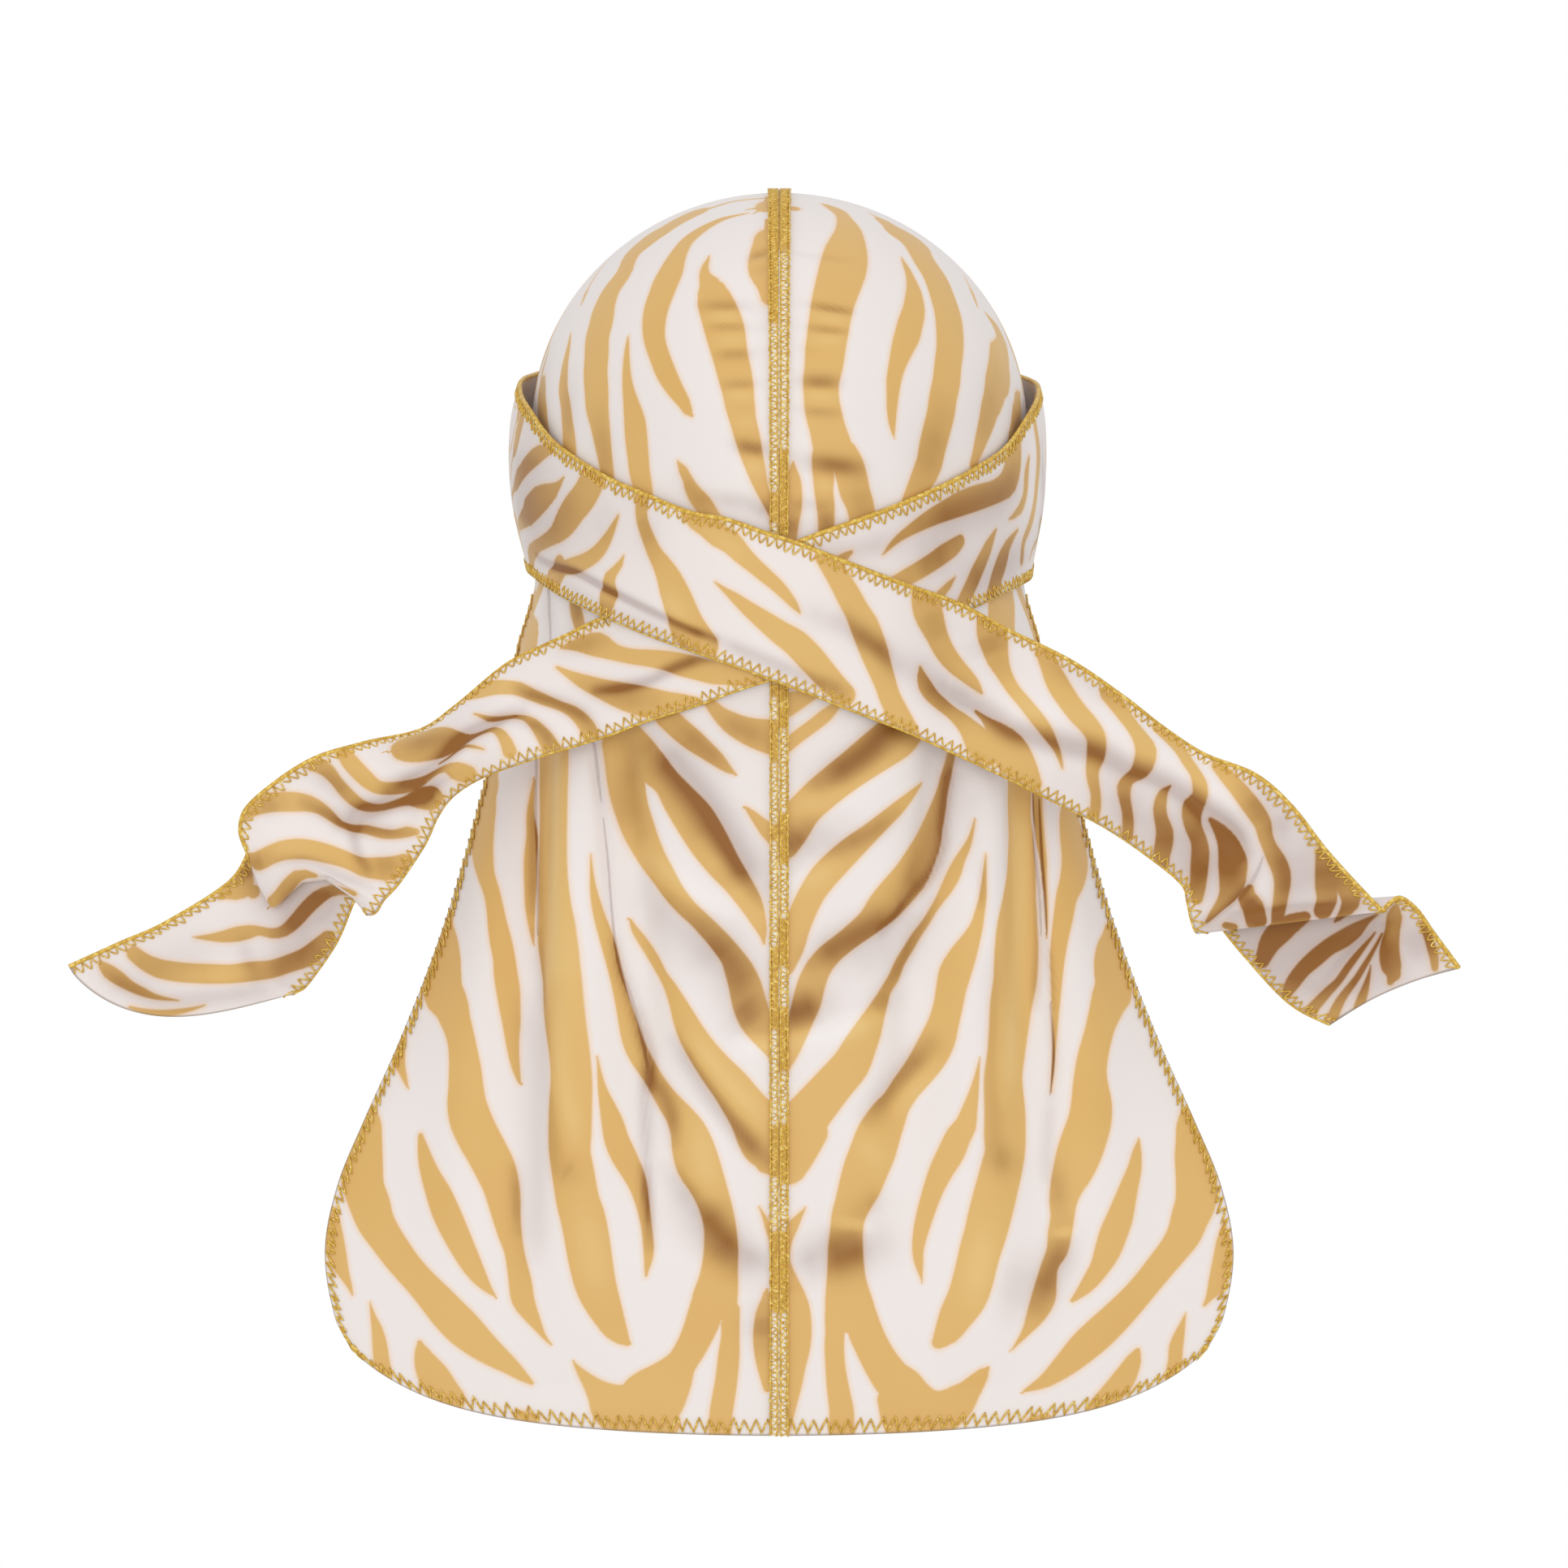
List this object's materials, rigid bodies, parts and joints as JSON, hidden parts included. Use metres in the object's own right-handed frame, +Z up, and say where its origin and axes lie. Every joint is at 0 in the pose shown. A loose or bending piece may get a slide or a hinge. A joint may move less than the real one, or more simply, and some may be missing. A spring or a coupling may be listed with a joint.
{
  "type": "durag",
  "caption": "Satin durag shown worn: a seamed crown and cape, with long ties wrapped round the head, crossed behind and left hanging.",
  "frame": {"origin": "middle of the head's hollow, level with the head's widest girth", "axes": "+Y points to the forehead, so the crossing, cape and tails are on the -Y side; +X is the right side seen from behind; +Z is up"},
  "size_m": [0.4319, 0.2109, 0.3925],
  "materials": {
    "striped_satin": "satin",
    "seam_thread": "satin",
    "tie_satin": "satin"
  },
  "bodies": {
    "root": {"left_panel": "striped_satin", "right_panel": "striped_satin", "centre_seam": "seam_thread", "left_tie": "tie_satin", "right_tie": "tie_satin"}
  },
  "joints": []
}
